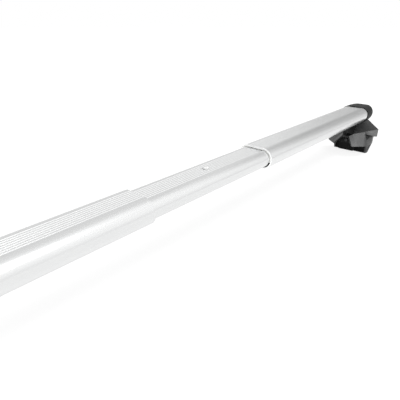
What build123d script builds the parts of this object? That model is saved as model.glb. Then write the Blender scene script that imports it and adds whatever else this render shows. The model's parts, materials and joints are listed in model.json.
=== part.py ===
from build123d import *
from math import atan2, cos, hypot, sin
import os

# Telescopic roof crossbar. Millimetres, Z up, X along the bar, standing on its feet at Z = 0.
# The two ends are alike: the right one is modelled and turned half round for the left.

# Bar sections
bar_height = 32.0
bar_flat = 28.0
bar_wall = 1.8
deck_wall = 2.6
slide_gap = 1.4
groove_count = 7
groove_pitch = 3.8
groove_width = 2.2
groove_depth = 0.9
groove_side = 62.0
fit_gap = 0.2
run_gap = 0.25

# Lengths along the bar
mouth_x = 115.0
outer_length = 398.0
centre_half = 320.0
glide_flange = 8.0
glide_spigot = 22.0
liner_setback = 0.4
liner_length = 40.0
liner_wall = 1.0
liner_drop = 1.0

# End cap
cap_length = 60.0
cap_proud = 1.2
cap_plan_power = 2.8
cap_side_power = 6.0
cap_stations = (0.0, 0.2, 0.42, 0.62, 0.8, 0.92, 0.98)
cap_gap = 0.4
cap_spigot = 15.0
cap_wall = 2.2

# Centre stop rivet
rivet_head_radius = 3.4
rivet_head_height = 1.5
rivet_shank_radius = 2.0
rivet_tail_radius = 2.9
rivet_tail_height = 3.0
hole_gap = 0.1

# Foot levels above the ground
foot_drop = 72.0
seat_z = 24.0
band_z = 42.0
brim_z = 47.0
brim_low_z = 44.0
saddle_z = 78.5
brim_slope = 0.264
brim_under_slope = -0.36
deck_sink = 0.6
tongue_thickness = 5.0

# Foot distances along X, from the foot datum
foot_setback = 6.0
nose_low = -33.0
nose_high = -22.5
nose_bend = -25.5
ridge_u = -10.0
cheek_u = 8.0
wing_u = -8.0
brim_inner = 3.0
brim_low_u = 14.5
shoulder_u = 29.5
side_u = 22.0
foot_outer = 31.0
deck_outer = 36.0
seat_inner = -10.0
leg_inner = 16.6
leg_front = 22.0
saddle_inner = 3.0
saddle_corner = 12.0
saddle_outer = 28.0
tongue_reach = -60.0

# Foot half widths
nose_low_half = 21.7
nose_high_half = 7.6
ridge_half = 12.5
nose_bend_half = 29.6
wing_half = 47.5
wing_round = 26.0
cheek_round = 22.0
side_half = 46.5
side_top_half = 43.0
outer_half = 44.8
brim_low_half = 56.6
brim_outer_half = 46.0
shoulder_half = 52.4
deck_outer_half = 40.0
seat_half = 36.0
leg_inner_half = 37.5
leg_inner_top_half = 42.0
leg_front_half = 39.5
leg_front_top_half = 46.5
leg_outer_half = 39.0
leg_outer_top_half = 44.0
saddle_inner_half = 14.0
saddle_corner_half = 32.5
saddle_outer_half = 20.0
tongue_half = 12.0
seat_round = 19.0
edge_round = 1.2

# Clamp
hood_wall = 2.3
tunnel_end = 13.5
jaw_gap = 0.35
jaw_back = -9.0
jaw_length = 20.0
lip_thickness = 7.0
lip_drop = 17.0
lip_taper = 2.0
pad_thickness = 3.0
pad_setback = 2.0
pad_ribs = 3
bolt_z = 31.5
bolt_radius = 4.0
bolt_head_radius = 6.5
bolt_head_height = 8.0
bolt_socket = 3.46
bolt_socket_depth = 4.0
bolt_hole_gap = 0.3
bolt_wall = 6.0
bolt_tip = -16.0
slot_end = 9.0
washer_radius = 7.5
washer_thickness = 1.6
nut_flats = 13.0
nut_thickness = 6.5
nut_run_gap = 0.08
nut_pocket_gap = 0.15

# Foot screws and the plate they hold
screw_near = -32.0
screw_far = -50.0
screw_radius = 3.0
screw_head_radius = 5.5
screw_head_height = 3.6
screw_length = 14.0
screw_socket = 2.31
screw_socket_depth = 2.2
plate_length = 40.0
plate_width = 24.0
plate_thickness = 5.0

# Derived places
bar_axis_z = foot_drop + bar_height / 2
end_x = mouth_x + outer_length
foot_x = end_x - foot_setback
shrink = bar_wall + slide_gap
centre_height = bar_height - 2 * shrink
cavity_height = bar_height - 2 * bar_wall
bar_plane = Plane.YZ
screw_middle = (screw_near + screw_far) / 2


def tube_section(height):
    """Oval tube wall with a thicker grooved deck, centred on the bar axis."""
    top = bar_axis_z + height / 2
    with Locations((0, bar_axis_z)):
        SlotCenterToCenter(bar_flat, height)
        SlotCenterToCenter(bar_flat, height - 2 * bar_wall, mode=Mode.SUBTRACT)
    with Locations((0, top - deck_wall / 2)):
        Rectangle(bar_flat, deck_wall)
    with Locations((0, top)):
        with GridLocations(groove_pitch, 0, groove_count, 1):
            Trapezoid(groove_width + groove_depth, 2 * groove_depth, groove_side, rotation=180,
                      mode=Mode.SUBTRACT)


def plug_section(height, gap):
    """Solid section that fits inside a tube of this height with a gap all round."""
    roof = bar_axis_z + height / 2 - deck_wall - gap
    with Locations((0, bar_axis_z)):
        SlotCenterToCenter(bar_flat, height - 2 * bar_wall - 2 * gap)
    with Locations((0, roof + bar_height / 2)):
        Rectangle(2 * bar_flat, bar_height, mode=Mode.SUBTRACT)


def both_sides(half):
    """Close an outline given by its points on the positive side of Y."""
    return half + [(x, -y) for x, y in reversed(half)]


def plan_outline(half):
    """Polygon from half outline points, given from the foot datum."""
    Polygon(*[(foot_x + u, y) for u, y in both_sides(half)], align=None)


def write_pair(stem, piece):
    """Write the right piece, and the same piece turned half round for the left end."""
    piece.part.label = "right_" + stem
    export_step(piece.part, "parts/right_" + stem + ".step")
    with BuildPart() as turned:
        add(piece.part, rotation=(0, 0, 180))
    turned.part.label = "left_" + stem
    export_step(turned.part, "parts/left_" + stem + ".step")


os.makedirs("parts", exist_ok=True)

# Centre bar: slides in both outer bars
with BuildPart() as centre_bar:
    with BuildSketch(bar_plane.offset(-(centre_half - glide_flange))):
        tube_section(centre_height)
    extrude(amount=2 * (centre_half - glide_flange))
    with Locations((0, 0, bar_axis_z + centre_height / 2)):
        Hole(rivet_shank_radius + hole_gap, deck_wall * 2)
centre_bar.part.label = "centre_bar"
export_step(centre_bar.part, "parts/centre_bar.step")

# Blind rivet in the middle of the centre bar
rivet_seat_z = bar_axis_z + centre_height / 2
with BuildPart() as centre_stop:
    with Locations((0, 0, rivet_seat_z)):
        Cylinder(rivet_head_radius, rivet_head_height, align=(Align.CENTER, Align.CENTER, Align.MIN))
    fillet(centre_stop.edges().group_by(Axis.Z)[-1], rivet_head_height * 0.8)
    with Locations((0, 0, rivet_seat_z)):
        Cylinder(rivet_shank_radius, deck_wall, align=(Align.CENTER, Align.CENTER, Align.MAX))
    with Locations((0, 0, rivet_seat_z - deck_wall)):
        Cylinder(rivet_tail_radius, rivet_tail_height, align=(Align.CENTER, Align.CENTER, Align.MAX))
centre_stop.part.label = "centre_stop"
export_step(centre_stop.part, "parts/centre_stop.step")

# Nylon plug on the end of the centre bar, running in the outer bar
with BuildPart() as glide:
    with BuildSketch(bar_plane.offset(centre_half - glide_flange - glide_spigot)):
        plug_section(centre_height, fit_gap)
    extrude(amount=glide_spigot)
    with BuildSketch(bar_plane.offset(centre_half - glide_flange)):
        plug_section(bar_height, run_gap)
    extrude(amount=glide_flange)
    with BuildSketch(bar_plane.offset(centre_half - glide_flange - glide_spigot)):
        with Locations((0, bar_axis_z)):
            SlotCenterToCenter(bar_flat, centre_height - 2 * bar_wall - 4 * cap_wall)
    extrude(amount=glide_spigot + glide_flange / 2, mode=Mode.SUBTRACT)
write_pair("glide", glide)

# Outer bar with the holes for the foot screws
with BuildPart() as outer_bar:
    with BuildSketch(bar_plane.offset(mouth_x)):
        tube_section(bar_height)
    extrude(amount=outer_length)
    with Locations((foot_x + screw_near, 0, foot_drop), (foot_x + screw_far, 0, foot_drop)):
        Cylinder(screw_radius + bolt_hole_gap, bar_wall * 3, mode=Mode.SUBTRACT)
write_pair("outer_bar", outer_bar)

# Slide liner inside the mouth: a shell along each upper side, clear of the grooved deck
with BuildPart() as liner:
    with BuildSketch(bar_plane.offset(mouth_x + liner_setback)):
        with Locations((0, bar_axis_z)):
            SlotCenterToCenter(bar_flat, cavity_height - 2 * fit_gap)
            SlotCenterToCenter(bar_flat, cavity_height - 2 * fit_gap - 2 * liner_wall, mode=Mode.SUBTRACT)
            Rectangle(bar_flat + 2 * fit_gap, bar_height, mode=Mode.SUBTRACT)
        with Locations((0, bar_axis_z - liner_drop - bar_height / 2)):
            Rectangle(2 * bar_flat + bar_height, bar_height, mode=Mode.SUBTRACT)
    extrude(amount=liner_length)
write_pair("liner", liner)

# End cap: rounded hood over the cut end, hollow spigot in the tube
with BuildPart() as end_cap:
    for station in cap_stations:
        plan = (1 - station ** cap_plan_power) ** (1 / cap_plan_power)
        side = (1 - station ** cap_side_power) ** (1 / cap_side_power * 2)
        height = (bar_height + 2 * cap_proud) * side
        width = (bar_flat + bar_height + 2 * cap_proud) * plan
        with BuildSketch(bar_plane.offset(end_x + cap_length * station)):
            with Locations((0, bar_axis_z)):
                SlotCenterToCenter(max(width - height, cap_proud), height)
    loft()
    with BuildSketch(bar_plane.offset(end_x - cap_spigot)):
        plug_section(bar_height, fit_gap)
    extrude(amount=cap_spigot)
    with BuildSketch(bar_plane.offset(end_x - cap_spigot)):
        with Locations((0, bar_axis_z)):
            SlotCenterToCenter(bar_flat, cavity_height - 2 * fit_gap - 4 * cap_wall)
    extrude(amount=cap_spigot + cap_length / 3, mode=Mode.SUBTRACT)
write_pair("end_cap", end_cap)

# Threaded plate inside the outer bar
with BuildPart() as nut_plate:
    with Locations((foot_x + screw_middle, 0, foot_drop + bar_wall)):
        Box(plate_length, plate_width, plate_thickness, align=(Align.CENTER, Align.CENTER, Align.MIN))
    fillet(nut_plate.edges().filter_by(Axis.Z), edge_round)
    with Locations((foot_x + screw_near, 0, foot_drop), (foot_x + screw_far, 0, foot_drop)):
        Cylinder(screw_radius + hole_gap, 4 * plate_thickness, mode=Mode.SUBTRACT)
write_pair("nut_plate", nut_plate)

# Two socket screws that hold the foot's tongue to the bar
with BuildPart() as foot_screws:
    with Locations((foot_x + screw_near, 0, foot_drop - tongue_thickness),
                   (foot_x + screw_far, 0, foot_drop - tongue_thickness)):
        Cylinder(screw_radius, screw_length, align=(Align.CENTER, Align.CENTER, Align.MIN))
        Cylinder(screw_head_radius, screw_head_height, align=(Align.CENTER, Align.CENTER, Align.MAX))
    fillet(foot_screws.edges().group_by(Axis.Z)[0], edge_round)
    with BuildSketch(Plane.XY.offset(foot_drop - tongue_thickness - screw_head_height)):
        with Locations((foot_x + screw_near, 0), (foot_x + screw_far, 0)):
            RegularPolygon(screw_socket, 6)
    extrude(amount=screw_socket_depth, mode=Mode.SUBTRACT)
write_pair("foot_screws", foot_screws)

# Foot body: outer leg, hull, brim, deck up to the bar and tongue
brim_angle = atan2(brim_slope, 1.0)
brim_plane = Plane(origin=(foot_x + ridge_u, 0, brim_z), x_dir=(cos(brim_angle), 0, sin(brim_angle)),
                   z_dir=(-sin(brim_angle), 0, cos(brim_angle)))
brim_under_angle = atan2(brim_under_slope, 1.0)
brim_under = Plane(origin=(foot_x + brim_low_u, 0, brim_low_z),
                   x_dir=(cos(brim_under_angle), 0, sin(brim_under_angle)),
                   z_dir=(-sin(brim_under_angle), 0, cos(brim_under_angle)))
crease = (shoulder_half - ridge_half) / (shoulder_u - ridge_u)
cheek_half = ridge_half + crease * (cheek_u - ridge_u)
brim_inner_half = ridge_half + crease * (brim_inner - ridge_u)
brim_low = [(brim_inner, brim_inner_half), (brim_low_u, brim_low_half), (foot_outer, brim_outer_half)]
brim_high = [(brim_inner, brim_inner_half), (shoulder_u, shoulder_half), (deck_outer, deck_outer_half)]
deck_outline = [(ridge_u, ridge_half), (shoulder_u, shoulder_half), (deck_outer, deck_outer_half)]
saddle_outline = [(saddle_inner, saddle_inner_half), (saddle_corner, saddle_corner_half),
                  (saddle_outer, saddle_outer_half)]
hull_low = [(nose_low, nose_low_half), (nose_bend, nose_bend_half), (wing_u, wing_half), (side_u, side_half),
            (foot_outer, outer_half)]
hull_high = [(nose_high, nose_high_half), (ridge_u, ridge_half), (cheek_u, cheek_half), (side_u, side_top_half),
             (foot_outer, outer_half)]
leg_low = [(seat_inner, seat_half), (leg_inner, leg_inner_half), (leg_front, leg_front_half),
           (foot_outer, leg_outer_half)]
leg_high = [(seat_inner, seat_half), (leg_inner, leg_inner_top_half), (leg_front, leg_front_top_half),
            (foot_outer, leg_outer_top_half)]
arch_x = foot_x + leg_inner - seat_round
arch_z = seat_z - seat_round
tunnel_low = nose_low_half - hood_wall
tunnel_high = nose_high_half - hood_wall / 2
tunnel_roof = band_z - hood_wall


def tunnel_points(gap):
    """Trapezium across the hood, for the tunnel and, less a gap, for the jaw in it."""
    slope = (tunnel_low - tunnel_high) / (tunnel_roof - seat_z)
    side = gap * hypot(1.0, slope)
    roof = tunnel_roof - gap
    return [(tunnel_low - side, seat_z), (tunnel_high - side + slope * gap, roof),
            (-(tunnel_high - side + slope * gap), roof), (-(tunnel_low - side), seat_z)]


def tilted_outline(half, start, angle):
    """Polygon on a plane tilted about a line across the foot, above the same plan points."""
    Polygon(*[((u - start) / cos(angle), y) for u, y in both_sides(half)], align=None)


def round_corners(outline, half, radius):
    """Round the two corners of an outline that lie at this half width."""
    fillet([corner for corner in outline.vertices() if abs(abs(corner.Y) - half) < fit_gap], radius)


with BuildPart() as foot_body:
    # Brim: a wedge that grows outwards between its underside and the tilted brim plane
    with BuildSketch(brim_under):
        tilted_outline(brim_low, brim_low_u, brim_under_angle)
    with BuildSketch(brim_plane):
        tilted_outline(brim_high, ridge_u, brim_angle)
    loft(ruled=True)
    # Deck that rises out of the brim to the cradle under the bar
    with BuildSketch(brim_plane.offset(-deck_sink)):
        tilted_outline(deck_outline, ridge_u, brim_angle)
    with BuildSketch(Plane.XY.offset(saddle_z)):
        plan_outline(saddle_outline)
    loft(ruled=True)
    # Hull between the rail seat and the brim
    with BuildSketch(Plane.XY.offset(seat_z)) as hull_foot:
        plan_outline(hull_low)
        round_corners(hull_foot, wing_half, wing_round)
    with BuildSketch(brim_plane.offset(-deck_sink / 2)) as hull_top:
        tilted_outline(hull_high, ridge_u, brim_angle)
        round_corners(hull_top, cheek_half, cheek_round)
    loft(ruled=True)
    # Outer leg, with the arched rail seat cut out of it
    with BuildSketch(Plane.XY):
        plan_outline(leg_low)
    with BuildSketch(Plane.XY.offset(seat_z)):
        plan_outline(leg_high)
    loft(ruled=True)
    with BuildSketch(Plane.XZ):
        with BuildLine():
            RadiusArc((arch_x, seat_z), (foot_x + leg_inner, arch_z), seat_round)
            Polyline((foot_x + leg_inner, arch_z), (foot_x + leg_inner, -1), (foot_x + nose_low, -1),
                     (foot_x + nose_low, seat_z), (arch_x, seat_z))
        make_face()
    extrude(amount=wing_half, both=True, mode=Mode.SUBTRACT)
    # Slot in the arch and tunnel above it for the jaw
    with Locations((foot_x + slot_end, 0, seat_z)):
        Box(slot_end - nose_low, 2 * tunnel_low, 2 * seat_z, align=(Align.MAX, Align.CENTER, Align.MAX),
            mode=Mode.SUBTRACT)
    with BuildSketch(Plane.YZ.offset(foot_x + nose_low - 1)):
        Polygon(*tunnel_points(0.0), align=None)
    extrude(amount=tunnel_end - nose_low + 1, mode=Mode.SUBTRACT)
    # Tongue under the bar
    with Locations((foot_x + tongue_reach, 0, foot_drop)):
        Box(saddle_corner - tongue_reach, 2 * tongue_half, tongue_thickness,
            align=(Align.MIN, Align.CENTER, Align.MAX))
    # Room for the bar and for the cap
    with BuildSketch(Plane.YZ.offset(foot_x + tongue_reach)):
        with Locations((0, bar_axis_z)):
            SlotCenterToCenter(bar_flat + 2 * run_gap, bar_height)
    extrude(amount=foot_setback - tongue_reach, mode=Mode.SUBTRACT)
    with BuildSketch(Plane.YZ.offset(end_x - run_gap)):
        with Locations((0, bar_axis_z)):
            SlotCenterToCenter(bar_flat, bar_height + 2 * cap_proud + 2 * cap_gap)
    extrude(amount=2 * cap_length, mode=Mode.SUBTRACT)
    # Bolt hole with a counterbore from the outside, and the screw holes
    with Locations(Plane(origin=(foot_x + foot_outer, 0, bolt_z), z_dir=(1, 0, 0))):
        CounterBoreHole(bolt_radius + bolt_hole_gap, washer_radius + bolt_hole_gap,
                        foot_outer - tunnel_end - bolt_wall, foot_outer - nose_low)
    with Locations((foot_x + screw_near, 0, foot_drop), (foot_x + screw_far, 0, foot_drop)):
        Cylinder(screw_radius + bolt_hole_gap, 3 * tongue_thickness, mode=Mode.SUBTRACT)
write_pair("foot_body", foot_body)

# Rubber lining of the arched rail seat and the outer leg
pad_face_z = seat_z - pad_thickness
with BuildPart() as rail_pad:
    with BuildSketch(Plane.XZ):
        with BuildLine():
            RadiusArc((arch_x, seat_z), (foot_x + leg_inner, arch_z), seat_round)
            Polyline((foot_x + leg_inner, arch_z), (foot_x + leg_inner, pad_setback),
                     (foot_x + leg_inner - pad_thickness, pad_setback),
                     (foot_x + leg_inner - pad_thickness, arch_z))
            RadiusArc((arch_x, pad_face_z), (foot_x + leg_inner - pad_thickness, arch_z),
                      seat_round - pad_thickness)
            Polyline((arch_x, pad_face_z), (foot_x + seat_inner + pad_setback, pad_face_z),
                     (foot_x + seat_inner + pad_setback, seat_z), (arch_x, seat_z))
        make_face()
    extrude(amount=seat_half - pad_setback, both=True)
    with Locations((foot_x + slot_end, 0, seat_z)):
        Box(slot_end - nose_low, 2 * tunnel_low + pad_setback, 2 * seat_z,
            align=(Align.MAX, Align.CENTER, Align.CENTER), mode=Mode.SUBTRACT)
write_pair("rail_pad", rail_pad)

# Inner jaw in the tunnel, with a lip that hangs beside the rail
with BuildPart() as jaw:
    with BuildSketch(Plane.YZ.offset(foot_x + jaw_back)):
        Polygon(*tunnel_points(jaw_gap), align=None)
    extrude(amount=jaw_length)
    lip_half = tunnel_low - 2 * jaw_gap
    with BuildSketch(Plane.YZ.offset(foot_x + jaw_back)):
        Polygon((lip_half, seat_z), (lip_half - lip_taper, seat_z - lip_drop),
                (lip_taper - lip_half, seat_z - lip_drop), (-lip_half, seat_z), align=None)
    extrude(amount=lip_thickness)
    with Locations(Plane(origin=(foot_x + jaw_back + jaw_length, 0, bolt_z), z_dir=(1, 0, 0))):
        Hole(bolt_radius + bolt_hole_gap, 2 * jaw_length)
    with BuildSketch(Plane.YZ.offset(foot_x + jaw_back + jaw_length)):
        with Locations((0, bolt_z)):
            RegularPolygon(nut_flats / 2 + nut_pocket_gap, 6, major_radius=False)
    extrude(amount=-nut_thickness, mode=Mode.SUBTRACT)
write_pair("jaw", jaw)

# Ribbed rubber facing of the jaw
with BuildPart() as jaw_pad:
    pad_top = seat_z - pad_thickness - pad_setback
    pad_low = seat_z - lip_drop + pad_setback / 2
    with BuildSketch(Plane.XZ):
        with Locations((foot_x + jaw_back + lip_thickness, (pad_top + pad_low) / 2)):
            Rectangle(pad_thickness, pad_top - pad_low, align=(Align.MIN, Align.CENTER))
        with Locations((foot_x + jaw_back + lip_thickness + pad_thickness, (pad_top + pad_low) / 2)):
            with GridLocations(0, (pad_top - pad_low) / pad_ribs, 1, pad_ribs):
                Circle(pad_thickness / 3, mode=Mode.SUBTRACT)
    extrude(amount=tunnel_low - 2 * lip_taper, both=True)
write_pair("jaw_pad", jaw_pad)

# Hexagon nut held in the jaw
with BuildPart() as jaw_nut:
    with BuildSketch(Plane.YZ.offset(foot_x + jaw_back + jaw_length)):
        with Locations((0, bolt_z)):
            RegularPolygon(nut_flats / 2, 6, major_radius=False)
            Circle(bolt_radius + nut_run_gap, mode=Mode.SUBTRACT)
    extrude(amount=-nut_thickness)
write_pair("jaw_nut", jaw_nut)

# Socket head bolt, turned from outside the foot
bolt_seat = foot_x + tunnel_end + bolt_wall + washer_thickness
with BuildPart() as clamp_bolt:
    with BuildSketch(Plane.YZ.offset(foot_x + bolt_tip)):
        with Locations((0, bolt_z)):
            Circle(bolt_radius)
    extrude(amount=bolt_seat - (foot_x + bolt_tip))
    with BuildSketch(Plane.YZ.offset(bolt_seat)):
        with Locations((0, bolt_z)):
            Circle(bolt_head_radius)
    extrude(amount=bolt_head_height)
    fillet(clamp_bolt.edges().group_by(Axis.X)[-1], edge_round / 2)
    with BuildSketch(Plane.YZ.offset(bolt_seat + bolt_head_height)):
        with Locations((0, bolt_z)):
            RegularPolygon(bolt_socket, 6)
    extrude(amount=-bolt_socket_depth, mode=Mode.SUBTRACT)
write_pair("clamp_bolt", clamp_bolt)

# Washer under the bolt head
with BuildPart() as bolt_washer:
    with BuildSketch(Plane.YZ.offset(bolt_seat - washer_thickness)):
        with Locations((0, bolt_z)):
            Circle(washer_radius)
            Circle(bolt_radius + bolt_hole_gap, mode=Mode.SUBTRACT)
    extrude(amount=washer_thickness)
write_pair("bolt_washer", bolt_washer)
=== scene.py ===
import json
from math import pi, radians

import bpy
from bpy.props import FloatProperty, FloatVectorProperty, PointerProperty
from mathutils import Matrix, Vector

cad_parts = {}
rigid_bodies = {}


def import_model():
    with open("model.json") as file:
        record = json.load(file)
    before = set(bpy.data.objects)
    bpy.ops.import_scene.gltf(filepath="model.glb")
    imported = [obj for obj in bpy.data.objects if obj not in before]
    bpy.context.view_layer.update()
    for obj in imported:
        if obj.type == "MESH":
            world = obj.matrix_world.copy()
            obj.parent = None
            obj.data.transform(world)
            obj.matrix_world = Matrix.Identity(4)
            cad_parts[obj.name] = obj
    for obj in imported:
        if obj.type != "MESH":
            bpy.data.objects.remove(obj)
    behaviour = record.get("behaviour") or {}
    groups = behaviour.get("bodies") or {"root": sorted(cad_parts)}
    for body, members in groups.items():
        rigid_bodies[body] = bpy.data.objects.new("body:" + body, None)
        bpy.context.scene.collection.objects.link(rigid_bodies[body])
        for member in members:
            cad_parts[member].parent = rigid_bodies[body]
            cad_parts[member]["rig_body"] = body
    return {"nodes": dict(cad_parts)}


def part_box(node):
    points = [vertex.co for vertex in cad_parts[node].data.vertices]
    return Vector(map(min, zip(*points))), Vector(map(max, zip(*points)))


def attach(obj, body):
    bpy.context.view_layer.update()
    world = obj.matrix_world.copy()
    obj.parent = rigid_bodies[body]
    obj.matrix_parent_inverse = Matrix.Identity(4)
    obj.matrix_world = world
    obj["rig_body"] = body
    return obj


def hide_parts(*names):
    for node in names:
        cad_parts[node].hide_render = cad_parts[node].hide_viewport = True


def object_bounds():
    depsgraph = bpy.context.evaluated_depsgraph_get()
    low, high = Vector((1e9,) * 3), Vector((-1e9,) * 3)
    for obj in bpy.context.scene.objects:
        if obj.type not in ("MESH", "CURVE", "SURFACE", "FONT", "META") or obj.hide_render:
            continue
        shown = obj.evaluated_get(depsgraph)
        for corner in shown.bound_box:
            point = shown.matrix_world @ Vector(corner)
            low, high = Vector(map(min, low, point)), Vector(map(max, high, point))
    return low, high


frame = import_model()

bl_info = {
    "name": "Telescopic roof crossbar",
    "version": (1, 0, 0),
    "blender": (4, 5, 0),
    "location": "3D View > Sidebar > Crossbar",
    "description": "Dresses a telescopic roof crossbar and its clamp feet for a studio picture",
    "category": "Object",
}

CAD_LOW, CAD_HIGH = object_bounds()
NODES = frame["nodes"]
ENDS = ("right", "left")

# Tolerances of the modelling
MM = 0.001
MERGE_DISTANCE = 0.002 * MM
SAME_PLACE = 0.01 * MM
FLAT_ANGLE = radians(0.6)
SHARP_ANGLE = radians(25.0)
FOOT_SHARP_ANGLE = radians(18.0)
SMOOTH_ANGLE = radians(50.0)

# How finely round pieces are divided
BEVEL_SEGMENTS = 2
OVAL_SIDES = 96
ROD_SIDES = 48
PIN_SIDES = 32

# Material slot that tells the bevels' faces from the others while a piece is made
BEVEL_SLOT = 1

# Tools that cut the mouths and the lips
TOOL_MARGIN = 0.06 * MM
TOOL_REACH = 0.5
LIP_CUTTER_SIZE = 0.1

# Length of one band of the wave texture at a scale of 1
WAVE_LENGTH = pi / 10.0

# Roughness and shine of the moulded finishes
MOULDED_GLOSS = {
    "slide_nylon": (0.42, 0.5),
    "cap_plastic": (0.55, 0.15),
    "foot_plastic": (0.30, 0.8),
    "jaw_plastic": (0.52, 0.1),
    "pad_rubber": (0.8, 0.1),
}

# Parts of the room in reflections: the way to each, and the cosines at which it starts and is full
ROOM_PARTS = {
    "front": ((0.35, -0.65, 0.67), 0.60, 0.95),
    "back": ((0.55, 0.75, 0.40), 0.60, 0.95),
    "window": ((-0.17, -0.43, 0.89), 0.86, 0.96),
    "room": ((-0.83, -0.25, 0.22), 0.45, 0.66),
    "flag": ((0.97, -0.02, 0.28), 0.86, 0.985),
}

# Place, size and power of each studio light, and the point that they face
SOFTBOXES = {
    "front_softbox": ((1.3, -0.6, 1.9), 1.3, 40.0),
    "back_softbox": ((-0.6, 1.7, 1.6), 1.4, 4.0),
    "left_softbox": ((-1.7, -0.5, 1.1), 1.2, 32.0),
}
LIGHT_AIM = (0.15, 0.0, 0.09)
FLOOR_SIZE = 60.0
CAMERA_CLIP = 0.01


def pair(stem):
    """The names of the right and left node with this stem."""
    return [end + "_" + stem for end in ENDS]


# Sizes and colours that a user would change

def colour(name, description, default):
    """A colour setting."""
    return FloatVectorProperty(name=name, description=description, subtype="COLOR", size=3, min=0.0,
                               max=1.0, default=default)


def length(name, description, default, smallest=0.0):
    """A setting for a length in metres."""
    return FloatProperty(name=name, description=description, unit="LENGTH", default=default, min=smallest)


def strength(name, description, default):
    """A setting for the strength of a light."""
    return FloatProperty(name=name, description=description, default=default, min=0.0)


class BarFinish(bpy.types.PropertyGroup):
    """Satin anodised aluminium of the three bars, and the rivet"""

    bar_colour: colour("Bar colour", "Colour of the anodised bars", (0.74, 0.745, 0.745))
    streak_colour: colour("Streak colour", "Colour along the paler die lines", (0.77, 0.775, 0.775))
    rivet_colour: colour("Rivet colour", "Colour of the plain rivet", (0.85, 0.855, 0.85))
    line_pitch: length("Line pitch", "Distance between the fine die lines", 0.0004, 0.00001)
    line_length: length("Line length", "Length of the fine die lines", 0.16, 0.001)
    edge: length("Cut edge", "Width of the broken edges", 0.00018)
    mouth_chamfer: length("Mouth chamfer", "Width of the chamfer around the bars' mouths", 0.0006, 0.0001)
    mandrel_radius: length("Mandrel radius", "Radius of the pin in the rivet's head", 0.00105, 0.0001)
    mandrel_rise: length("Mandrel rise", "How far the pin stands out of the rivet's head", 0.0002)
    mandrel_depth: length("Mandrel depth", "How far the pin reaches into the rivet's head", 0.0006)


class MouldingFinish(bpy.types.PropertyGroup):
    """Black mouldings: the feet, caps and jaws. Pale ones: the inner slide pieces"""

    foot_colour: colour("Foot colour", "Colour of the feet", (0.011, 0.0115, 0.0115))
    cap_colour: colour("Cap colour", "Colour of the end caps", (0.014, 0.0145, 0.014))
    jaw_colour: colour("Jaw colour", "Colour of the clamp jaws", (0.018, 0.0185, 0.0185))
    slide_colour: colour("Slide colour", "Colour of the inner slide pieces", (0.78, 0.78, 0.76))
    lip_setback: length("Lip setback", "How far the liners' lips stand back in the mouths", 0.0002)
    lip_depth: length("Lip depth", "Depth of the liners' lips along the bar", 0.003, 0.0001)
    lip_cover: length("Lip cover", "Thickness of the bar's wall around the lips", 0.00182, 0.0001)
    lip_width: length("Lip width", "Width of the lips in the gap between the bars", 0.00113, 0.0001)
    lip_drop: length("Lip drop", "How far the lips reach below the bar's middle", 0.004)
    # The jaws turn darker, to the pad colour, below this height.
    dark_below_height: length("Dark below height", "Top of the rubber moulded over the jaws", 0.0235)
    dark_below_blend: length("Dark below blend", "Height over which the jaw changes to rubber", 0.0005, 0.00001)
    grain: length("Grain size", "Size of the moulded grain", 0.0009, 0.00001)
    edge: length("Edge round", "Width of the rounded edges", 0.0006)


class RubberFinish(bpy.types.PropertyGroup):
    """Rubber of the rail pads and jaw pads"""

    pad_colour: colour("Rubber colour", "Colour of the pads", (0.008, 0.008, 0.008))
    rib_pitch: length("Rib pitch", "Distance between the moulded ribs", 0.0025, 0.0001)
    rib_depth: length("Rib depth", "Depth of the moulded ribs", 0.0003)
    grain: length("Rubber grain", "Size of the rubber's grain", 0.0005, 0.00001)
    edge: length("Rubber edge", "Width of the rounded edges", 0.0004)


class HardwareFinish(bpy.types.PropertyGroup):
    """Bolts, screws, nuts, washers and plates"""

    steel_colour: colour("Zinc colour", "Colour of the zinc plated pieces", (0.52, 0.525, 0.51))
    black_colour: colour("Black finish", "Colour of the blackened screws", (0.045, 0.045, 0.046))
    edge: length("Hardware edge", "Width of the broken edges", 0.0002)
    nut_edge: length("Nut chamfer", "Width of the nuts' chamfers", 0.0005)
    thread_length: length("Thread length", "Length of the clamp bolts' threaded ends", 0.0275, 0.001)
    thread_depth: length("Thread depth", "Depth of the threads down to their cores", 0.0006664, 0.0001)


class StageSettings(bpy.types.PropertyGroup):
    """Floor, lights and camera"""

    floor_colour: colour("Floor colour", "Colour of the floor", (0.93, 0.93, 0.93))
    floor_lift: FloatProperty(name="Floor lift", description="Share of plain white in the floor as seen",
                              subtype="FACTOR", default=0.74, min=0.0, max=1.0)
    floor_glow: strength("Floor glow", "Strength of the plain white in the floor", 1.16)
    fill: strength("Fill", "Strength of the even light from all sides", 0.2)
    front: strength("Front", "Strength of the bright front of the room in reflections", 1.2)
    back: strength("Back", "Strength of the back of the room in reflections", 0.87)
    window: strength("Window", "Strength of the window above the camera in reflections", 2.9)
    room: strength("Room", "Strength of the dark room behind the camera in reflections", 0.1)
    flag: strength("Flag", "Strength of the grey end of the room in reflections", 0.5)
    camera_place: FloatVectorProperty(name="Camera place", description="Where the camera stands",
                                      subtype="TRANSLATION", unit="LENGTH", size=3,
                                      default=(-0.3343, -0.2940, 0.2723))
    camera_aim: FloatVectorProperty(name="Camera aim", description="The way the camera looks",
                                    subtype="DIRECTION", size=3, default=(0.663, 0.605, -0.440))
    lens: FloatProperty(name="Lens", description="Focal length in millimetres", unit="CAMERA", default=32.2,
                        min=1.0)


# Modelling helpers

def select_only(piece):
    """Make one piece the selected and active one."""
    bpy.ops.object.select_all(action="DESELECT")
    piece.select_set(True)
    bpy.context.view_layer.objects.active = piece


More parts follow.
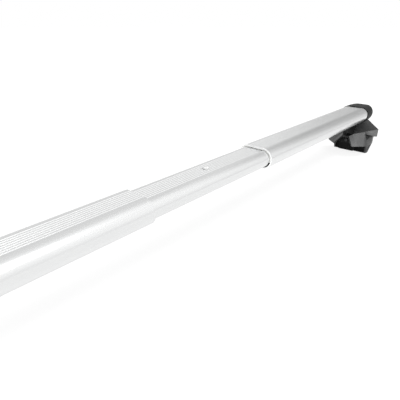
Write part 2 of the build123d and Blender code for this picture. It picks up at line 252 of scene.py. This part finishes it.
def select_vertices(piece, wanted):
    """Go into edit mode with the vertices selected whose places pass a test."""
    select_only(piece)
    bpy.ops.object.mode_set(mode="EDIT")
    bpy.ops.mesh.select_mode(type="VERT")
    bpy.ops.mesh.select_all(action="DESELECT")
    bpy.ops.object.mode_set(mode="OBJECT")
    for vertex in piece.data.vertices:
        vertex.select = wanted(vertex.co)
    bpy.ops.object.mode_set(mode="EDIT")


def apply_place(piece):
    """Move a piece's place and turn into its mesh."""
    select_only(piece)
    bpy.ops.object.transform_apply(location=True, rotation=True, scale=True)


def add_rod(name, radius, start, end, sides=ROD_SIDES):
    """A closed cylinder between two points."""
    way = end - start
    bpy.ops.mesh.primitive_cylinder_add(vertices=sides, radius=radius, depth=way.length,
                                        location=(start + end) / 2,
                                        rotation=way.to_track_quat("Z", "Y").to_euler())
    rod = bpy.context.object
    rod.name = name
    apply_place(rod)
    return rod


def add_oval(name, radius, flat, start, end):
    """A solid oval bar between two points, with its flat sides up and down."""
    bar = add_rod(name, radius, start, end, OVAL_SIDES)
    for way in (1.0, -1.0):
        select_vertices(bar, lambda place: place.y * way > MERGE_DISTANCE)
        bpy.ops.transform.translate(value=(0.0, way * flat, 0.0))
        bpy.ops.object.mode_set(mode="OBJECT")
    select_vertices(bar, lambda place: abs(place.y) < MERGE_DISTANCE)
    bpy.ops.mesh.dissolve_edges()
    bpy.ops.object.mode_set(mode="OBJECT")
    return bar


def copy_solid(node):
    """A merged copy of a solid's mesh, with its flat faces whole again."""
    piece = bpy.data.objects.new(node + "_skin", NODES[node].data.copy())
    bpy.context.collection.objects.link(piece)
    select_only(piece)
    bpy.ops.mesh.customdata_custom_splitnormals_clear()
    bpy.ops.object.mode_set(mode="EDIT")
    bpy.ops.mesh.select_all(action="SELECT")
    bpy.ops.mesh.remove_doubles(threshold=MERGE_DISTANCE)
    bpy.ops.mesh.dissolve_limited(angle_limit=FLAT_ANGLE)
    bpy.ops.object.mode_set(mode="OBJECT")
    return piece


def round_edges(piece, width, sharpness=SHARP_ANGLE):
    """Bevel the edges sharper than this angle, and mark the middle of each bevel as a worn edge."""
    select_only(piece)
    bpy.ops.object.mode_set(mode="EDIT")
    bpy.ops.mesh.select_mode(type="EDGE")
    bpy.ops.mesh.select_all(action="DESELECT")
    bpy.ops.mesh.edges_select_sharp(sharpness=sharpness)
    mesh = piece.data
    mesh.materials.clear()
    mesh.materials.append(None)
    mesh.materials.append(None)
    bpy.ops.mesh.bevel(offset=width, segments=BEVEL_SEGMENTS, affect="EDGES", clamp_overlap=True,
                       material=BEVEL_SLOT)
    bpy.ops.object.mode_set(mode="OBJECT")
    rounded = [1.0] * len(mesh.vertices)
    for face in mesh.polygons:
        if face.material_index != BEVEL_SLOT:
            for corner in face.vertices:
                rounded[corner] = 0.0
    mesh.attributes.new("edge", "FLOAT", "POINT").data.foreach_set("value", rounded)
    bpy.ops.object.shade_smooth_by_angle(angle=SMOOTH_ANGLE)
    bpy.ops.object.modifier_add(type="WEIGHTED_NORMAL")
    piece.modifiers[-1].keep_sharp = True
    bpy.ops.object.modifier_apply(modifier=piece.modifiers[-1].name)


def carve(piece, tool, operation):
    """Cut a piece with a tool, which is then taken away."""
    select_only(piece)
    bpy.ops.object.modifier_add(type="BOOLEAN")
    cut = piece.modifiers[-1]
    cut.operation = operation
    cut.solver = "EXACT"
    cut.object = tool
    bpy.ops.object.modifier_apply(modifier=cut.name)
    bpy.data.objects.remove(tool)
    bpy.ops.object.mode_set(mode="EDIT")
    bpy.ops.mesh.select_all(action="SELECT")
    bpy.ops.mesh.dissolve_degenerate(threshold=MERGE_DISTANCE)
    bpy.ops.object.mode_set(mode="OBJECT")


def dress(piece, material, body):
    """Give a new piece its material and slot, and let it ride on a body."""
    piece.data.materials.clear()
    piece.data.materials.append(material)
    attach(piece, body)


def stand_in(piece, node, material):
    """Let a finished piece stand for a solid."""
    dress(piece, material, NODES[node]["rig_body"])
    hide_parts(node)


def reskin(node, material, width, sharpness=SHARP_ANGLE):
    """Stand a copy with rounded edges in for a solid."""
    piece = copy_solid(node)
    round_edges(piece, width, sharpness)
    stand_in(piece, node, material)


def paint(node, material):
    """Give a solid that is shown as it is its material."""
    NODES[node].data.materials.clear()
    NODES[node].data.materials.append(material)


def inner_end(node):
    """Where a solid of one end of the bar starts along it, and 1 or -1 for the way outwards from there."""
    low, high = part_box(node)
    return (low[0], 1.0) if low[0] + high[0] > 0.0 else (high[0], -1.0)


# Shapes of the pieces

def mouth_of(node):
    """The middle of an outer bar's mouth, the way into it, its radius and half the width of its flats."""
    low, high = (Vector(corner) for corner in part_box(node))
    inner, side = inner_end(node)
    radius = (high.z - low.z) / 2
    return Vector((inner, 0.0, low.z + radius)), Vector((side, 0.0, 0.0)), radius, high.y - radius


def chamfer_mouth(piece, node, width):
    """Chamfer an outer bar all round its mouth."""
    mouth, inwards, radius, flat = mouth_of(node)
    start = mouth + inwards * width
    tool = add_oval("mouth_tool", radius + TOOL_MARGIN, flat, start, mouth + inwards * TOOL_REACH)
    select_vertices(tool, lambda place: abs(place.x - start.x) < SAME_PLACE)
    bpy.ops.mesh.inset(thickness=width, depth=width)
    bpy.ops.object.mode_set(mode="OBJECT")
    carve(piece, tool, "INTERSECT")


def liner_with_lip(node, bar, settings):
    """A copy of a liner with the lip that closes the upper half of the mouth."""
    mouth, inwards, radius, flat = mouth_of(bar)
    start = mouth + inwards * settings.lip_setback
    end = start + inwards * settings.lip_depth
    outer = radius - settings.lip_cover
    lip = add_oval(node + "_lip", outer, flat, start, end)
    over = inwards * MM
    hole = add_oval("lip_hole", outer - settings.lip_width, flat, start - over, end + over)
    carve(lip, hole, "DIFFERENCE")
    below = Vector((0.0, 0.0, LIP_CUTTER_SIZE / 2 + settings.lip_drop))
    bpy.ops.mesh.primitive_cube_add(size=LIP_CUTTER_SIZE, location=mouth - below)
    carve(lip, bpy.context.object, "DIFFERENCE")
    liner = copy_solid(node)
    lip.select_set(True)
    bpy.ops.object.join()
    return liner


def bolt_with_core(node, settings):
    """A copy of a clamp bolt with the core of its thread as its end. The thread itself isn't modelled."""
    low, high = (Vector(corner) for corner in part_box(node))
    inner, side = inner_end(node)
    tip = Vector((inner, 0.0, (low.z + high.z) / 2))
    runout = Vector((side * settings.thread_length, 0.0, 0.0))
    bolt = copy_solid(node)
    at_tip = [corner.co.z for corner in bolt.data.vertices if abs(corner.co.x - tip.x) < SAME_PLACE]
    shank = max(at_tip) - tip.z
    select_vertices(bolt, lambda place: abs(place.x - tip.x) < SAME_PLACE)
    bpy.ops.transform.translate(value=runout)
    bpy.ops.object.mode_set(mode="OBJECT")
    round_edges(bolt, settings.edge)
    core = add_rod(node + "_core", shank - settings.thread_depth, tip, tip + runout)
    select_only(bolt)
    core.select_set(True)
    bpy.ops.object.join()
    return bolt


# Shader helpers

def add(tree, kind, inputs=None, **settings):
    """Add a shader node with its options, and set or link its inputs."""
    node = tree.nodes.new(kind)
    for key, value in settings.items():
        setattr(node, key, value)
    for key, value in (inputs or {}).items():
        if isinstance(value, bpy.types.NodeSocket):
            tree.links.new(value, node.inputs[key])
        else:
            node.inputs[key].default_value = value
    return node


def calculate(tree, operation, first, second=0.0):
    """A sum, product or other result of one or two values."""
    return add(tree, "ShaderNodeMath", {0: first, 1: second}, operation=operation).outputs[0]


def spread(tree, value, low, high, start=0.0, full=1.0, shape="LINEAR"):
    """A result that goes from low to high while a value goes from start to full."""
    inputs = {"Value": value, "From Min": start, "From Max": full, "To Min": low, "To Max": high}
    return add(tree, "ShaderNodeMapRange", inputs, interpolation_type=shape).outputs["Result"]


def blend_colours(tree, mask, first, second):
    """Colour that goes from the first to the second with the mask."""
    mix = add(tree, "ShaderNodeMix", {"Factor": mask}, data_type="RGBA")
    for key, tone in (("A", first), ("B", second)):
        socket = next(s for s in mix.inputs if s.name == key and s.type == "RGBA")
        if isinstance(tone, bpy.types.NodeSocket):
            tree.links.new(tone, socket)
        else:
            socket.default_value = (*tone, 1.0)
    return next(s for s in mix.outputs if s.type == "RGBA")


def lighter(tone, by):
    """The same colour made lighter or darker by a factor."""
    return tuple(min(1.0, part * by) for part in tone)


def bump(tree, height, amount, depth):
    """A normal bent by a height."""
    node = add(tree, "ShaderNodeBump", {"Strength": amount, "Distance": depth, "Height": height})
    return node.outputs["Normal"]


def place_on_piece(tree):
    """The place on the piece, in metres."""
    return add(tree, "ShaderNodeTexCoord").outputs["Object"]


def along_axis(tree, vector, axis):
    """One part of a vector."""
    return add(tree, "ShaderNodeSeparateXYZ", {0: vector}).outputs[axis]


def facing(tree, axis):
    """Mask of the faces that are turned well towards an axis."""
    normal = add(tree, "ShaderNodeTexCoord").outputs["Normal"]
    turn = calculate(tree, "ABSOLUTE", along_axis(tree, normal, axis))
    return spread(tree, turn, 0.0, 1.0, start=0.3, full=0.6)


def on_deck(tree):
    """Mask of the flat strip along the bar, where the grooves are."""
    *_, flat = mouth_of("right_outer_bar")
    blend = 0.2 * MM
    across = calculate(tree, "ABSOLUTE", along_axis(tree, place_on_piece(tree), "Y"))
    return spread(tree, across, 1.0, 0.0, start=flat - blend, full=flat + blend)


def start_material(name, constants=None):
    """A material with its shader's plain values set."""
    found = bpy.data.materials.get(name)
    if found:
        bpy.data.materials.remove(found)
    material = bpy.data.materials.new(name)
    material.use_nodes = True
    shader = material.node_tree.nodes["Principled BSDF"].inputs
    for key, value in (constants or {}).items():
        shader[key].default_value = value
    return material, material.node_tree, shader


# Groups that several materials share

def start_group(name, inputs, outputs):
    """A shader group with named number inputs and outputs."""
    group = bpy.data.node_groups.new(name, "ShaderNodeTree")
    for key, value in inputs.items():
        socket = group.interface.new_socket(key, in_out="INPUT", socket_type="NodeSocketFloat")
        socket.default_value = value
    for key in outputs:
        group.interface.new_socket(key, in_out="OUTPUT", socket_type="NodeSocketFloat")
    return group, group.nodes.new("NodeGroupInput").outputs, group.nodes.new("NodeGroupOutput").inputs


def moulded_grain(name):
    """Group: fine pebbled grain of a moulded or rubber surface, and slow changes of tone."""
    group, given, result = start_group(name, {"Grain Size": 1.0 * MM}, ("Height", "Tone"))
    times_finer = 3.1
    where = place_on_piece(group)
    rate = calculate(group, "DIVIDE", 1.0, given["Grain Size"])
    cells = add(group, "ShaderNodeTexVoronoi", {"Vector": where, "Scale": rate}, feature="SMOOTH_F1")
    fine_rate = calculate(group, "MULTIPLY", rate, times_finer)
    fine = add(group, "ShaderNodeTexNoise", {"Vector": where, "Scale": fine_rate, "Detail": 2.0})
    height = calculate(group, "ADD", cells.outputs["Distance"], fine.outputs[0])
    slow = add(group, "ShaderNodeTexNoise", {"Vector": where, "Scale": 46.0, "Detail": 5.0,
                                             "Roughness": 0.62})
    group.links.new(height, result["Height"])
    group.links.new(slow.outputs[0], result["Tone"])
    return group


def drawn_lines(name):
    """Group: fine lines along the bar, as an extrusion die leaves them."""
    group, given, result = start_group(name, {"Line Pitch": 0.5 * MM, "Line Length": 200.0 * MM},
                                       ("Height", "Streak"))
    pitch = given["Line Pitch"]
    steps = add(group, "ShaderNodeCombineXYZ", {"X": given["Line Length"], "Y": pitch, "Z": pitch})
    along = add(group, "ShaderNodeVectorMath", {0: place_on_piece(group), 1: steps.outputs[0]},
                operation="DIVIDE")
    fine = add(group, "ShaderNodeTexNoise", {"Vector": along.outputs[0], "Scale": 1.0, "Detail": 3.0})
    broad = add(group, "ShaderNodeTexNoise", {"Vector": along.outputs[0], "Scale": 0.16, "Detail": 2.0})
    group.links.new(fine.outputs[0], result["Height"])
    group.links.new(broad.outputs[0], result["Streak"])
    return group


def handling_marks(name):
    """Group: soft uneven patches where hands and cloths have passed."""
    group, given, result = start_group(name, {"Patch Size": 30.0 * MM}, ("Mask",))
    rate = calculate(group, "DIVIDE", 1.0, given["Patch Size"])
    patch = add(group, "ShaderNodeTexNoise", {"Vector": place_on_piece(group), "Scale": rate, "Detail": 4.0,
                                              "Distortion": 0.7})
    group.links.new(spread(group, patch.outputs[0], 0.0, 1.0, start=0.38, full=0.66), result["Mask"])
    return group


def worn_edges(name):
    """Group: the rounded edges of a piece, and where they are rubbed as well."""
    group, given, result = start_group(name, {"Marks": 1.0}, ("Edge", "Worn"))
    edge = add(group, "ShaderNodeAttribute", None, attribute_name="edge").outputs["Fac"]
    group.links.new(edge, result["Edge"])
    group.links.new(calculate(group, "MULTIPLY", edge, given["Marks"]), result["Worn"])
    return group


def use_group(tree, build, values):
    """Place a shared group, built once, in a material with its own values, and give its outputs."""
    name = build.__name__.replace("_", " ").capitalize()
    group = bpy.data.node_groups.get(name) or build(name)
    return add(tree, "ShaderNodeGroup", values, node_tree=group).outputs


# Materials

def satin_aluminium(finish):
    """Anodised extrusion: fine lines along the bar, faint streaks, groove sides painted paler as a painted
    highlight, and bare cut ends that are pale and not metallic, partly their own bare metal and partly a
    painted highlight.
    """
    material, tree, shader = start_material("satin_aluminium")
    lines = use_group(tree, drawn_lines, {"Line Pitch": finish.line_pitch,
                                          "Line Length": finish.line_length})
    marks = use_group(tree, handling_marks, {"Patch Size": 45.0 * MM})
    # Painted highlight: the sides of the grooves on the deck are made paler in place of the reflections
    # that they catch.
    painted_groove_highlight = calculate(tree, "MULTIPLY", facing(tree, "Y"), on_deck(tree))
    # Bare cut ends: paler and not metallic, partly their own bare metal and partly a painted highlight in
    # place of their polished reflection.
    bare_end_and_highlight = facing(tree, "X")
    tone = blend_colours(tree, lines["Streak"], finish.bar_colour, finish.streak_colour)
    # Painted highlight on the groove sides.
    tone = blend_colours(tree, painted_groove_highlight, tone, lighter(finish.streak_colour, by=1.03))
    # Pale cut ends, partly bare metal and partly a painted highlight.
    tone = blend_colours(tree, bare_end_and_highlight, tone, lighter(finish.streak_colour, by=1.25))
    even = spread(tree, marks["Mask"], low=0.255, high=0.27)
    fine = spread(tree, lines["Height"], low=-0.02, high=0.02)
    tree.links.new(tone, shader["Base Color"])
    tree.links.new(spread(tree, bare_end_and_highlight, low=1.0, high=0.0), shader["Metallic"])
    tree.links.new(calculate(tree, "ADD", even, fine), shader["Roughness"])
    tree.links.new(bump(tree, lines["Height"], amount=0.05, depth=0.02 * MM), shader["Normal"])
    return material


def plain_aluminium(finish):
    """Rivet aluminium: softer, with small tumbling marks."""
    material, tree, shader = start_material("rivet_aluminium", {"Metallic": 0.1})
    grain = use_group(tree, moulded_grain, {"Grain Size": 0.4 * MM})
    marks = use_group(tree, handling_marks, {"Patch Size": 4.0 * MM})
    tone = blend_colours(tree, marks["Mask"], finish.rivet_colour, lighter(finish.rivet_colour, by=1.12))
    tree.links.new(tone, shader["Base Color"])
    tree.links.new(spread(tree, marks["Mask"], low=0.40, high=0.55), shader["Roughness"])
    tree.links.new(bump(tree, grain["Height"], amount=0.10, depth=0.03 * MM), shader["Normal"])
    return material


def moulding(name, tone, grain_size):
    """Moulded plastic or rubber with a pebbled grain and polished, paler edges."""
    rough, shine = MOULDED_GLOSS[name]
    material, tree, shader = start_material(name, {"Specular IOR Level": shine})
    grain = use_group(tree, moulded_grain, {"Grain Size": grain_size})
    marks = use_group(tree, handling_marks, {"Patch Size": 20.0 * MM})
    edges = use_group(tree, worn_edges, {"Marks": marks["Mask"]})
    cloudy = blend_colours(tree, grain["Tone"], lighter(tone, by=0.8), lighter(tone, by=1.25))
    even = spread(tree, marks["Mask"], low=rough - 0.04, high=rough + 0.05)
    polish = spread(tree, edges["Edge"], low=0.0, high=-0.08)
    tree.links.new(blend_colours(tree, edges["Worn"], cloudy, lighter(tone, by=1.9)), shader["Base Color"])
    tree.links.new(calculate(tree, "ADD", even, polish), shader["Roughness"])
    tree.links.new(bump(tree, grain["Height"], amount=0.35, depth=0.10 * MM), shader["Normal"])
    return material


def add_ribs(material, pitch, depth):
    """Moulded ribs across a rubber pad, over its own grain."""
    tree = material.node_tree
    normal = tree.nodes["Principled BSDF"].inputs["Normal"]
    ribs = add(tree, "ShaderNodeTexWave", {"Vector": place_on_piece(tree), "Scale": WAVE_LENGTH / pitch},
               bands_direction="Y")
    ribbed = add(tree, "ShaderNodeBump", {"Strength": 0.6, "Distance": depth, "Height": ribs.outputs["Fac"],
                                          "Normal": normal.links[0].from_socket})
    tree.links.new(ribbed.outputs["Normal"], normal)


def darken_below(material, height, blend, tone):
    """Darken a piece's colour to another colour below a height."""
    tree = material.node_tree
    base = tree.nodes["Principled BSDF"].inputs["Base Color"]
    level = along_axis(tree, place_on_piece(tree), "Z")
    below = spread(tree, level, 0.0, 1.0, start=height, full=height - blend)
    tree.links.new(blend_colours(tree, below, base.links[0].from_socket, tone), base)


def zinc_steel(finish):
    """Zinc plated steel: faintly spangled."""
    material, tree, shader = start_material("zinc_steel", {"Metallic": 1.0})
    grain = use_group(tree, moulded_grain, {"Grain Size": 1.2 * MM})
    marks = use_group(tree, handling_marks, {"Patch Size": 6.0 * MM})
    tone = blend_colours(tree, marks["Mask"], lighter(finish.steel_colour, by=0.86),
                         lighter(finish.steel_colour, by=1.1))
    tree.links.new(tone, shader["Base Color"])
    tree.links.new(spread(tree, grain["Tone"], low=0.24, high=0.44), shader["Roughness"])
    tree.links.new(bump(tree, grain["Height"], amount=0.12, depth=0.04 * MM), shader["Normal"])
    return material


def black_steel(finish):
    """Blackened screws: dark, slightly oily, paler on their edges."""
    material, tree, shader = start_material("black_steel", {"Metallic": 0.7})
    grain = use_group(tree, moulded_grain, {"Grain Size": 0.6 * MM})
    marks = use_group(tree, handling_marks, {"Patch Size": 5.0 * MM})
    tone = blend_colours(tree, marks["Mask"], lighter(finish.black_colour, by=0.75),
                         lighter(finish.black_colour, by=1.3))
    edges = use_group(tree, worn_edges, {"Marks": marks["Mask"]})
    tone = blend_colours(tree, edges["Edge"], tone, lighter(finish.black_colour, by=2.6))
    tree.links.new(tone, shader["Base Color"])
    tree.links.new(spread(tree, marks["Mask"], low=0.34, high=0.5), shader["Roughness"])
    tree.links.new(bump(tree, grain["Height"], amount=0.15, depth=0.03 * MM), shader["Normal"])
    return material


# Pieces

class CROSSBAR_OT_bars(bpy.types.Operator):
    """Give the three aluminium bars their broken edges and satin finish"""

    bl_idname = "crossbar.bars"
    bl_label = "Bars"

    def execute(self, context):
        finish = context.scene.crossbar_bar
        satin = satin_aluminium(finish)
        reskin("centre_bar", satin, finish.edge)
        for node in pair("outer_bar"):
            bar = copy_solid(node)
            chamfer_mouth(bar, node, finish.mouth_chamfer)
            round_edges(bar, finish.edge)
            stand_in(bar, node, satin)
        return {"FINISHED"}


class CROSSBAR_OT_rivet(bpy.types.Operator):
    """Finish the stop rivet in the middle of the centre bar"""

    bl_idname = "crossbar.rivet"
    bl_label = "Stop rivet"

    def execute(self, context):
        finish = context.scene.crossbar_bar
        bright = plain_aluminium(finish)
        reskin("centre_stop", bright, finish.edge)
        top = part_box("centre_stop")[1][2]
        start = Vector((0.0, 0.0, top - finish.mandrel_depth))
        end = Vector((0.0, 0.0, top + finish.mandrel_rise))
        pin = add_rod("rivet_mandrel", finish.mandrel_radius, start, end, PIN_SIDES)
        round_edges(pin, finish.edge)
        dress(pin, bright, "centre")
        return {"FINISHED"}


class CROSSBAR_OT_slides(bpy.types.Operator):
    """Finish the slide plugs and liners inside the bars"""

    bl_idname = "crossbar.slides"
    bl_label = "Slide pieces"

    def execute(self, context):
        finish = context.scene.crossbar_moulding
        nylon = moulding("slide_nylon", finish.slide_colour, finish.grain)
        for node in pair("glide"):
            paint(node, nylon)
        for liner, bar in zip(pair("liner"), pair("outer_bar")):
            stand_in(liner_with_lip(liner, bar, finish), liner, nylon)
        return {"FINISHED"}


class CROSSBAR_OT_end_caps(bpy.types.Operator):
    """Finish the two moulded end caps"""

    bl_idname = "crossbar.end_caps"
    bl_label = "End caps"

    def execute(self, context):
        finish = context.scene.crossbar_moulding
        black = moulding("cap_plastic", finish.cap_colour, finish.grain)
        for node in pair("end_cap"):
            reskin(node, black, finish.edge)
        return {"FINISHED"}


class CROSSBAR_OT_feet(bpy.types.Operator):
    """Round the edges of the two moulded feet and finish them"""

    bl_idname = "crossbar.feet"
    bl_label = "Feet"

    def execute(self, context):
        finish = context.scene.crossbar_moulding
        black = moulding("foot_plastic", finish.foot_colour, finish.grain)
        for node in pair("foot_body"):
            reskin(node, black, finish.edge, FOOT_SHARP_ANGLE)
        return {"FINISHED"}


class CROSSBAR_OT_jaws(bpy.types.Operator):
    """Round the edges of the two clamp jaws and finish them"""

    bl_idname = "crossbar.jaws"
    bl_label = "Clamp jaws"

    def execute(self, context):
        finish = context.scene.crossbar_moulding
        black = moulding("jaw_plastic", finish.jaw_colour, finish.grain)
        # The jaws are darker, in the pad colour, below a height.
        darken_below(black, finish.dark_below_height, finish.dark_below_blend, context.scene.crossbar_rubber.pad_colour)
        for node in pair("jaw"):
            reskin(node, black, finish.edge)
        return {"FINISHED"}


class CROSSBAR_OT_pads(bpy.types.Operator):
    """Finish the rubber pads of the feet and jaws"""

    bl_idname = "crossbar.pads"
    bl_label = "Rubber pads"

    def execute(self, context):
        finish = context.scene.crossbar_rubber
        rubber = moulding("pad_rubber", finish.pad_colour, finish.grain)
        add_ribs(rubber, finish.rib_pitch, finish.rib_depth)
        for node in pair("rail_pad") + pair("jaw_pad"):
            reskin(node, rubber, finish.edge)
        return {"FINISHED"}


class CROSSBAR_OT_hardware(bpy.types.Operator):
    """Finish the bolts, screws, nuts, washers and plates"""

    bl_idname = "crossbar.hardware"
    bl_label = "Hardware"

    def execute(self, context):
        finish = context.scene.crossbar_hardware
        zinc = zinc_steel(finish)
        black = black_steel(finish)
        for node in pair("jaw_nut") + pair("bolt_washer") + pair("nut_plate"):
            reskin(node, zinc, finish.nut_edge)
        for node in pair("foot_screws"):
            reskin(node, black, finish.edge)
        for node in pair("clamp_bolt"):
            stand_in(bolt_with_core(node, finish), node, black)
        return {"FINISHED"}


# Stage

def floor_material(stage):
    """Pale floor that keeps the soft shadow, lifted towards white where it is seen, and glowing less
    towards +X in reflections as a painted shade.
    """
    material, tree, shader = start_material("pale_floor", {"Roughness": 0.9})
    marks = use_group(tree, handling_marks, {"Patch Size": 1.5})
    tone = blend_colours(tree, marks["Mask"], stage.floor_colour, lighter(stage.floor_colour, by=1.01))
    tree.links.new(tone, shader["Base Color"])
    path = add(tree, "ShaderNodeLightPath").outputs
    seen = calculate(tree, "MAXIMUM", path["Is Camera Ray"], path["Is Glossy Ray"])
    seen = calculate(tree, "MAXIMUM", seen, path["Is Transmission Ray"])
    where = place_on_piece(tree)
    reach = add(tree, "ShaderNodeVectorMath", {0: where}, operation="LENGTH").outputs["Value"]
    lift = spread(tree, reach, low=stage.floor_lift, high=1.0, start=0.7, full=2.2)
    # Painted shade in reflections: the floor glows less towards +X where reflections see it.
    painted_reflection_shade = spread(tree, along_axis(tree, where, "X"), low=0.0, high=0.34, start=0.4, full=1.5)
    loss = calculate(tree, "MULTIPLY", painted_reflection_shade, path["Is Glossy Ray"])
    glow = calculate(tree, "SUBTRACT", stage.floor_glow, loss)
    white = add(tree, "ShaderNodeEmission", {"Strength": glow})
    surface = tree.nodes["Principled BSDF"].outputs[0]
    share = calculate(tree, "MULTIPLY", seen, lift)
    mix = add(tree, "ShaderNodeMixShader", {0: share, 1: surface, 2: white.outputs[0]})
    tree.links.new(mix.outputs[0], tree.nodes["Material Output"].inputs["Surface"])
    return material


def room_part(tree, aim, start, full, brightness):
    """A part of the room in reflections: this bright towards its aim, and no change to the rest."""
    where = add(tree, "ShaderNodeTexCoord").outputs["Generated"]
    near = add(tree, "ShaderNodeVectorMath", {0: where, 1: Vector(aim).normalized()},
               operation="DOT_PRODUCT")
    return spread(tree, near.outputs["Value"], 1.0, brightness, start, full, shape="SMOOTHSTEP")


def white_world(stage):
    """White to the eye, an even fill light on the pieces, and bright and dark parts in reflections."""
    world = bpy.data.worlds.new("studio")
    world.use_nodes = True
    tree = world.node_tree
    mirrored = 1.0
    for part, (aim, start, full) in ROOM_PARTS.items():
        share = room_part(tree, aim, start, full, getattr(stage, part))
        mirrored = calculate(tree, "MULTIPLY", mirrored, share)
    path = add(tree, "ShaderNodeLightPath").outputs
    glossy = calculate(tree, "MAXIMUM", path["Is Glossy Ray"], path["Is Transmission Ray"])
    lit = spread(tree, glossy, low=stage.fill, high=mirrored)
    sky = tree.nodes["Background"]
    sky.inputs["Color"].default_value = (1.0, 1.0, 1.0, 1.0)
    tree.links.new(spread(tree, path["Is Camera Ray"], low=lit, high=1.0), sky.inputs["Strength"])
    world.cycles.sampling_method = "NONE"
    return world


def add_softbox(name, place, size, power):
    """A square studio light, which reflections don't show."""
    way = Vector(LIGHT_AIM) - Vector(place)
    bpy.ops.object.light_add(type="AREA", location=place, rotation=way.to_track_quat("-Z", "Y").to_euler())
    lamp = bpy.context.object
    lamp.name = name
    lamp.data.shape = "SQUARE"
    lamp.data.size = size
    lamp.data.energy = power
    lamp.visible_glossy = False


class CROSSBAR_OT_stage(bpy.types.Operator):
    """Add the floor, the lights, the world and the camera"""

    bl_idname = "crossbar.stage"
    bl_label = "Stage"

    def execute(self, context):
        stage = context.scene.crossbar_stage
        bpy.ops.object.select_all(action="DESELECT")
        bpy.ops.mesh.primitive_plane_add(size=FLOOR_SIZE, location=(0.0, 0.0, CAD_LOW.z))
        floor = context.object
        floor.name = "floor"
        floor.data.materials.append(floor_material(stage))
        context.scene.world = white_world(stage)
        for name, (place, size, power) in SOFTBOXES.items():
            add_softbox(name, place, size, power)
        camera = bpy.data.cameras.new("camera")
        camera.lens = stage.lens
        camera.clip_start = CAMERA_CLIP
        holder = bpy.data.objects.new("camera", camera)
        context.collection.objects.link(holder)
        holder.location = stage.camera_place
        holder.rotation_euler = Vector(stage.camera_aim).to_track_quat("-Z", "Y").to_euler()
        context.scene.camera = holder
        context.scene.view_settings.view_transform = "Standard"
        return {"FINISHED"}


class CROSSBAR_PT_panel(bpy.types.Panel):
    """Lists the settings and pieces of the crossbar"""

    bl_idname = "CROSSBAR_PT_panel"
    bl_label = "Crossbar"
    bl_space_type = "VIEW_3D"
    bl_region_type = "UI"
    bl_category = "Crossbar"

    def draw(self, context):
        for name, settings in SETTINGS.items():
            box = self.layout.box()
            for key in settings.__annotations__:
                box.prop(getattr(context.scene, name), key)
        for operator in OPERATORS:
            self.layout.operator(operator.bl_idname)


SETTINGS = {
    "crossbar_bar": BarFinish,
    "crossbar_moulding": MouldingFinish,
    "crossbar_rubber": RubberFinish,
    "crossbar_hardware": HardwareFinish,
    "crossbar_stage": StageSettings,
}
OPERATORS = (
    CROSSBAR_OT_bars,
    CROSSBAR_OT_rivet,
    CROSSBAR_OT_slides,
    CROSSBAR_OT_end_caps,
    CROSSBAR_OT_feet,
    CROSSBAR_OT_jaws,
    CROSSBAR_OT_pads,
    CROSSBAR_OT_hardware,
    CROSSBAR_OT_stage,
)


def register():
    """Register the settings, operators and panel."""
    for key, settings in SETTINGS.items():
        bpy.utils.register_class(settings)
        setattr(bpy.types.Scene, key, PointerProperty(type=settings))
    for item in OPERATORS:
        bpy.utils.register_class(item)
    bpy.utils.register_class(CROSSBAR_PT_panel)


def unregister():
    """Take the settings, operators and panel away again."""
    bpy.utils.unregister_class(CROSSBAR_PT_panel)
    for item in reversed(OPERATORS):
        bpy.utils.unregister_class(item)
    for key, settings in reversed(SETTINGS.items()):
        delattr(bpy.types.Scene, key)
        bpy.utils.unregister_class(settings)


def main():
    """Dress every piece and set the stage."""
    register()
    bpy.ops.crossbar.bars()
    bpy.ops.crossbar.rivet()
    bpy.ops.crossbar.slides()
    bpy.ops.crossbar.end_caps()
    bpy.ops.crossbar.feet()
    bpy.ops.crossbar.jaws()
    bpy.ops.crossbar.pads()
    bpy.ops.crossbar.hardware()
    bpy.ops.crossbar.stage()


if __name__ == "__main__":
    main()
